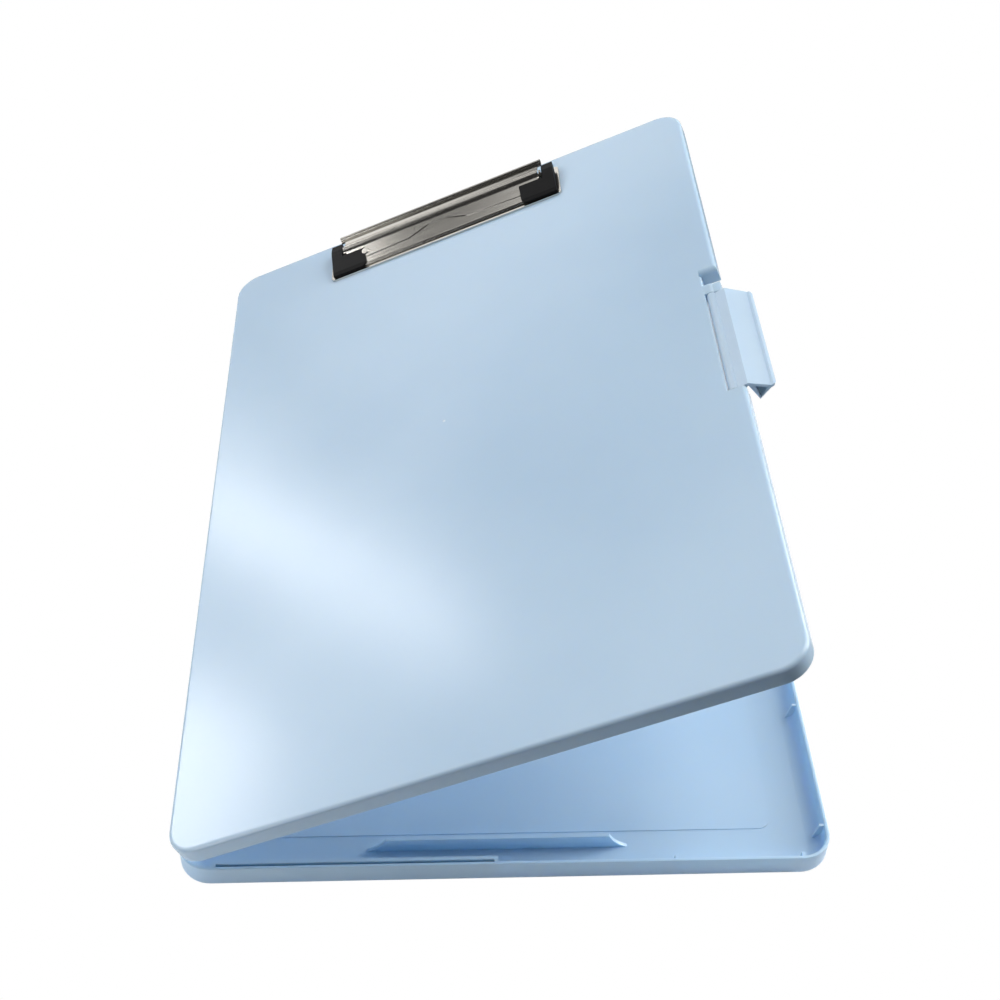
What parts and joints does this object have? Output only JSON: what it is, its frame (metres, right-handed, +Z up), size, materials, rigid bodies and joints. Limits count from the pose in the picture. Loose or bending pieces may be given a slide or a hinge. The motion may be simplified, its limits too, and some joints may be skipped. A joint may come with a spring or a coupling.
{
  "type": "storage clipboard case",
  "caption": "Shallow A4 storage tray with a hinged writing-board lid, a side latch flap and a low steel paper clip across the far end of the lid.",
  "frame": {"origin": "Centre of the tray's flat underside.", "axes": "X from the hinge side to the latch side, Y from the near short end to the clip end, Z up."},
  "size_m": [0.2428, 0.355, 0.1189],
  "materials": {
    "tray_polypropylene": "injection-moulded powder-blue polypropylene, fine satin grain",
    "lid_polypropylene": "injection-moulded powder-blue polypropylene, satin writing face",
    "latch_polypropylene": "injection-moulded powder-blue polypropylene",
    "clip_nickel": "nickel-plated pressed steel sheet",
    "rivet_steel": "plated tubular steel",
    "pin_steel": "drawn steel rod",
    "spring_steel": "drawn spring wire",
    "cap_rubber": "black moulded soft plastic"
  },
  "bodies": {
    "tray": {"base_tray": "tray_polypropylene", "hinge_pin_front": "pin_steel", "hinge_pin_middle": "pin_steel", "hinge_pin_rear": "pin_steel"},
    "lid": {"lid_board": "lid_polypropylene", "clip_base_plate": "clip_nickel", "clip_rod": "pin_steel", "clip_rivets": "rivet_steel", "clip_washers": "rivet_steel", "latch_pin": "pin_steel", "clip_spring_left": "spring_steel", "clip_spring_right": "spring_steel"},
    "latch": {"latch_flap": "latch_polypropylene"},
    "clip": {"clip_jaw": "clip_nickel", "clip_cap_left": "cap_rubber", "clip_cap_right": "cap_rubber"}
  },
  "joints": [
    {"name": "lid_hinge", "type": "hinge", "parent": "tray", "child": "lid", "pos_m": [-0.121, 0, 0.0103], "axis": [0, -1, 0], "range_deg": [-24.9, 150]},
    {"name": "latch_hinge", "type": "hinge", "parent": "lid", "child": "latch", "pos_m": [0.09096, 0, 0.11442], "axis": [0, -1, 0], "range_deg": [-59.2, 40]},
    {"name": "clip_jaw_hinge", "type": "hinge", "parent": "lid", "child": "clip", "pos_m": [-0.01888, 0.1616, 0.06961], "axis": [-0.907, 0, -0.421], "range_deg": [0, 25], "stiffness_Nm_per_rad": 0.2, "springref_deg": -68.75, "deforming": ["clip_spring_left", "clip_spring_right"]}
  ]
}
